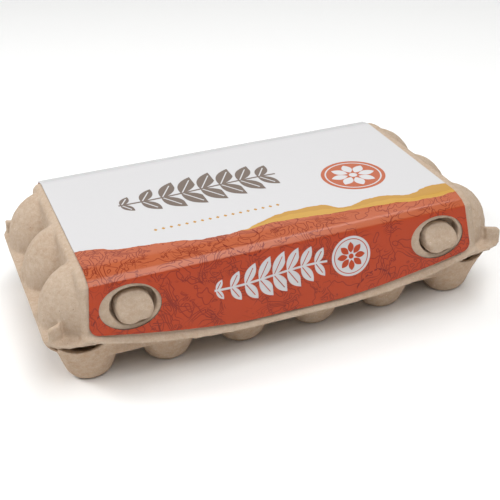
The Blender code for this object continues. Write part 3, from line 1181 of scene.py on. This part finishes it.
@dataclass
class Label:
    """The paper label: one sheet, folded over the lid's shoulders, with an oval at each latch."""

    name: str = "label_sheet"
    middle: float = -1.5 * MM
    half_length: float = 116.3 * MM
    flare: float = 0.13
    thickness: float = 0.74 * MM
    top: float = 74.1 * MM
    top_half_depth: float = 58.0 * MM
    shoulder_half_depth: float = 70.7 * MM
    shoulder: float = 69.4 * MM
    shoulder_tilt: float = math.radians(22)
    crease_share: float = 2 / 3
    crease_drop: float = 0.46
    draft: float = 0.165
    lower_fold: float = 1.5 * MM
    corner: float = 5 * MM
    back_edge: float = 42 * MM
    lowest: float = 28.6 * MM
    level_half_length: float = 25 * MM
    rise: float = 12.8 * MM
    rise_length: float = 91.3 * MM
    rise_power: float = 1.45
    columns: int = 96
    corner_columns: int = 8
    wall_rows: int = 10
    top_rows: int = 16
    shoulder_rows: int = 12
    fold_rows: int = 6
    cutout_centres: tuple[float, float] = (-96.7 * MM, 95.3 * MM)
    cutout_height: float = 53.4 * MM
    cutout_half_width: float = 17.8 * MM
    cutout_half_height: float = 13.2 * MM
    cutout_sides: int = 96
    cutter_y: float = -80 * MM
    cutter_depth: float = 40 * MM
    printed_side: float = 0.5
    smooth_angle: float = math.radians(40)
    spine: list = field(default_factory=list)

    def build(self, printed: bpy.types.Material, edge: bpy.types.Material) -> None:
        """Build and dress the label.

        Args:
            printed: the printed paper's material.
            edge: the cut paper's material.
        """
        self.spine = self.folded_path()
        rows = len(self.spine) + 2 * self.wall_rows
        bpy.ops.object.select_all(action="DESELECT")
        bpy.ops.mesh.primitive_grid_add(
            x_subdivisions=self.columns, y_subdivisions=rows - 1, size=2
        )
        piece = bpy.context.active_object
        piece.name = self.name
        self.map_print(piece, self.fold(piece, rows))
        self.thicken(piece)
        for centre in self.cutout_centres:
            self.cut_out(piece, centre)
        self.mark_edges(piece)
        dress(piece, [printed, edge], "label")

    def folded_path(self) -> list[tuple[float, float, float]]:
        """The sheet cut across between its two lower folds, with round folds.

        Returns:
            Places as (y, z, distance along the sheet from the middle), from the front to the back.
        """
        step = self.top_half_depth / self.top_rows
        half = [Vector((step * i, self.top)) for i in range(self.top_rows)]
        half += [self.on_shoulder(i / self.shoulder_rows) for i in range(self.shoulder_rows)]
        corner = self.on_shoulder(1.0)
        half += self.rounded(half[-1], corner, corner + Vector((self.draft, -1.0)), self.lower_fold)
        distance, path = 0.0, []
        for number, place in enumerate(half):
            distance += (place - half[number - 1]).length if number else 0.0
            path.append((place.x, place.y, distance))
        return [(-y, z, -d) for y, z, d in reversed(path[1:])] + path

    def on_shoulder(self, share: float) -> Vector:
        """A place on the creased shoulder.

        Args:
            share: how far down it is, from 0 at the top's edge to 1 at the wall.

        Returns:
            The place as (y, z), on the back half.
        """
        out = self.shoulder_half_depth - self.top_half_depth
        above = min(share / self.crease_share, 1.0)
        below = max(share - self.crease_share, 0.0) / (1.0 - self.crease_share)
        fallen = self.crease_drop * above + (1.0 - self.crease_drop) * below
        drop = (self.top - self.shoulder) * fallen
        return Vector((self.top_half_depth + out * share, self.top - drop))

    def rounded(self, before: Vector, corner: Vector, after: Vector, radius: float) -> list[Vector]:
        """A corner of the path as a round bend.

        Args:
            before: a place before the corner.
            corner: the corner.
            after: a place after it.
            radius: the bend's radius.

        Returns:
            Places along the bend.
        """
        back, on = (before - corner).normalized(), (after - corner).normalized()
        half_turn = (math.pi - back.angle(on)) / 2
        reach = radius * math.tan(half_turn)
        middle = corner + (back + on).normalized() * radius / math.cos(half_turn)
        start, end = corner + back * reach - middle, corner + on * reach - middle
        steps = [i / self.fold_rows for i in range(self.fold_rows + 1)]
        return [middle + start.slerp(end, step) * radius for step in steps]

    def lower_edge(self, x: float) -> float:
        """Height of the label's lower edge on the front, at a place along the carton."""
        reach = max(abs(x) - self.level_half_length, 0.0) / self.rise_length
        return self.lowest + self.rise * reach**self.rise_power

    def shares(self) -> list[tuple[float, float]]:
        """The sheet's columns.

        Returns:
            Each column's share of the half length, and how far the round corner lifts its edge.
        """
        straight = 1.0 - self.corner / self.half_length
        plain = self.columns - 2 * self.corner_columns
        found = [(straight * (2.0 * i / plain - 1.0), 0.0) for i in range(plain + 1)]
        for number in range(1, self.corner_columns + 1):
            angle = math.radians(90.0 * number / self.corner_columns)
            share = straight + (1.0 - straight) * math.sin(angle)
            lift = self.corner * (1.0 - math.cos(angle))
            found = [(-share, lift)] + found + [(share, lift)]
        return found

    def fold(self, piece: bpy.types.Object, rows: int) -> list[tuple[float, float]]:
        """Lay the flat grid over the lid.

        Args:
            piece: the flat grid.
            rows: how many rows of points it has.

        Returns:
            Each point's place on the flat sheet, in metres.
        """
        columns = self.shares()
        places = []
        for vertex in piece.data.vertices:
            column, row = vertex.index % len(columns), vertex.index // len(columns)
            share, lift = columns[column]
            from_back = rows - 1 - row
            if row < self.wall_rows:
                low = self.lower_edge(self.middle + share * self.half_length) + lift
                y, z, v = self.on_wall(self.spine[0], low, 1.0 - row / self.wall_rows)
            elif from_back < self.wall_rows:
                part = 1.0 - from_back / self.wall_rows
                y, z, v = self.on_wall(self.spine[-1], self.back_edge + lift, part)
            else:
                y, z, v = self.spine[row - self.wall_rows]
            half_length = self.half_length + max(self.shoulder - z, 0.0) * self.flare
            x = self.middle + share * half_length
            vertex.co = (x, y, z)
            places.append((x, v))
        return places

    def on_wall(
        self, top: tuple[float, float, float], low: float, part: float
    ) -> tuple[float, float, float]:
        """A place on the front or back wall.

        Args:
            top: the wall's upper end, as the path gives it.
            low: height of the sheet's edge there.
            part: how far down the wall the place is, from 0 to 1.

        Returns:
            The place, as the path gives it.
        """
        y, z, v = top
        drop = (z - low) * part
        side = math.copysign(drop, y)
        return y + side * self.draft, z - drop, v + side * math.hypot(1.0, self.draft)

    def map_print(self, piece: bpy.types.Object, places: Sequence[tuple[float, float]]) -> None:
        """Map the sheet at its real size, so that the print follows the folds.

        Args:
            piece: the folded grid.
            places: each point's place on the flat sheet.
        """
        for layer in list(piece.data.uv_layers):
            piece.data.uv_layers.remove(layer)
        layer = piece.data.uv_layers.new(name=PrintedPaper.uv_map)
        for loop in piece.data.loops:
            layer.data[loop.index].uv = places[loop.vertex_index]

    def thicken(self, piece: bpy.types.Object) -> None:
        """Give the sheet its thickness, inwards from the printed face.

        Args:
            piece: the folded sheet.
        """
        make_active(piece)
        bpy.ops.object.mode_set(mode="EDIT")
        bpy.ops.mesh.select_all(action="SELECT")
        bpy.ops.mesh.normals_make_consistent(inside=False)
        bpy.ops.object.mode_set(mode="OBJECT")
        top = max(piece.data.polygons, key=lambda face: face.center.z)
        if top.normal.z < 0:
            piece.data.flip_normals()
        settings = {"thickness": self.thickness, "offset": -1.0, "use_even_offset": True}
        apply_modifier(piece, "SOLIDIFY", **settings)

    def cut_out(self, piece: bpy.types.Object, centre: float) -> None:
        """Cut the oval for one latch.

        Args:
            piece: the thick sheet.
            centre: the oval's place along the carton.
        """
        bpy.ops.object.select_all(action="DESELECT")
        bpy.ops.mesh.primitive_cylinder_add(
            vertices=self.cutout_sides,
            radius=1.0,
            depth=1.0,
            location=(centre, self.cutter_y, self.cutout_height),
            rotation=(math.pi / 2, 0, 0),
        )
        cutter = bpy.context.active_object
        cutter.scale = (self.cutout_half_width, self.cutout_half_height, self.cutter_depth)
        bpy.ops.object.transform_apply(location=True, rotation=True, scale=True)
        cut_away(piece, cutter)

    def mark_edges(self, piece: bpy.types.Object) -> None:
        """Give the sheet's cut edges the second material, and shade it smooth between them.

        Args:
            piece: the thick sheet, with its ovals cut.
        """
        for face in piece.data.polygons:
            depth, side = abs(face.center.y), math.copysign(1.0, face.center.y)
            out = Vector((0.0, 0.0, 1.0))
            if depth > self.shoulder_half_depth:
                out = Vector((0.0, side, self.draft)).normalized()
            elif depth > self.top_half_depth:
                tilt = self.shoulder_tilt
                out = Vector((0.0, side * math.sin(tilt), math.cos(tilt)))
            face.material_index = 0 if face.normal.dot(out) > self.printed_side else 1
        make_active(piece)
        bpy.ops.object.shade_smooth_by_angle(angle=self.smooth_angle)


@dataclass(frozen=True)
class Softbox:
    """A soft light: its name, where it hangs and its sides in metres, and its power in watts."""

    name: str
    place: tuple[float, float, float]
    sides: tuple[float, float]
    power: float


@dataclass
class Studio:
    """The pale floor, the soft lights and the camera."""

    target: tuple = (-2.32 * MM, -9.97 * MM, 33.78 * MM)
    azimuth: float = math.radians(-20.40)
    elevation: float = math.radians(29.94)
    roll: float = math.radians(-1.78)
    distance: float = 643.7 * MM
    lens_mm: float = 72.72
    sensor_mm: float = 36.0
    floor_size: float = 6.0
    sky: float = 0.2
    softboxes: tuple[Softbox, ...] = (
        Softbox("overhead_softbox", (0.16, -0.16, 1.1), (1.6, 0.3), 8.4),
        Softbox("key_softbox", (-1.0, 0.42, 0.9), (0.45, 0.45), 8.8),
        Softbox("back_softbox", (0.5, 2.4, 1.5), (2.4, 1.8), 10.0),
        Softbox("front_softbox", (0.1, -0.85, 1.2), (0.9, 0.6), 6.2),
    )

    def build(self, floor_paint: bpy.types.Material) -> None:
        """Build everything round the carton.

        Args:
            floor_paint: the floor's material.
        """
        self.lay_floor(floor_paint)
        self.light_sky()
        for softbox in self.softboxes:
            self.hang(softbox)
        self.place_camera()

    def lay_floor(self, floor_paint: bpy.types.Material) -> None:
        """Lay the floor under the cups' feet.

        Args:
            floor_paint: the floor's material.
        """
        bpy.ops.mesh.primitive_plane_add(size=self.floor_size, location=(0, 0, 0))
        floor = bpy.context.active_object
        floor.name = "studio_floor"
        floor.data.materials.append(floor_paint)

    def light_sky(self) -> None:
        """Fill the room with even white light."""
        world = bpy.data.worlds.new("studio_room")
        world.use_nodes = True
        background = world.node_tree.nodes["Background"]
        background.inputs["Color"].default_value = (1.0, 1.0, 1.0, 1.0)
        background.inputs["Strength"].default_value = self.sky
        bpy.context.scene.world = world

    def hang(self, softbox: Softbox) -> None:
        """Hang one soft light so that it points at the carton.

        Args:
            softbox: the light to hang.
        """
        data = bpy.data.lights.new(softbox.name, "AREA")
        data.shape = "RECTANGLE"
        data.size, data.size_y = softbox.sides
        data.energy = softbox.power
        light = bpy.data.objects.new(softbox.name, data)
        bpy.context.scene.collection.objects.link(light)
        light.location = softbox.place
        aim = Vector(self.target) - Vector(softbox.place)
        light.rotation_euler = aim.to_track_quat("-Z", "Y").to_euler()

    def place_camera(self) -> None:
        """Stand the camera where the photographer stood."""
        level, height = math.cos(self.elevation), math.sin(self.elevation)
        back = Vector((math.sin(self.azimuth) * level, -math.cos(self.azimuth) * level, height))
        right = (-back).cross(Vector((0, 0, 1))).normalized()
        up = right.cross(-back)
        rolled_right = right * math.cos(self.roll) + up * math.sin(self.roll)
        rolled_up = up * math.cos(self.roll) - right * math.sin(self.roll)
        data = bpy.data.cameras.new("camera")
        data.lens = self.lens_mm
        data.sensor_width = self.sensor_mm
        camera = bpy.data.objects.new("camera", data)
        bpy.context.scene.collection.objects.link(camera)
        turn = Matrix((rolled_right, rolled_up, back)).transposed().to_4x4()
        place = Vector(self.target) + back * self.distance
        camera.matrix_world = Matrix.Translation(place) @ turn
        bpy.context.scene.camera = camera


def main() -> None:
    """Build the carton, piece by piece, and the studio round it."""
    logging.basicConfig(level=logging.INFO, format="%(name)s %(message)s")
    bpy.context.scene.view_settings.view_transform = "Standard"
    pulp = MouldedPulp().material()
    # The tray takes a darker, warmer copy of the pulp: painted shade over the cups.
    Tray().build(MouldedPulp("moulded_paper_pulp_tray_painted_shade", Tone.PULP_TRAY).material())
    Lid().build(pulp)
    LatchKnob().build(pulp)
    Label().build(PrintedPaper().material(), PaperEdge().material())
    Studio().build(StudioFloor().material())


if __name__ == "__main__":
    main()
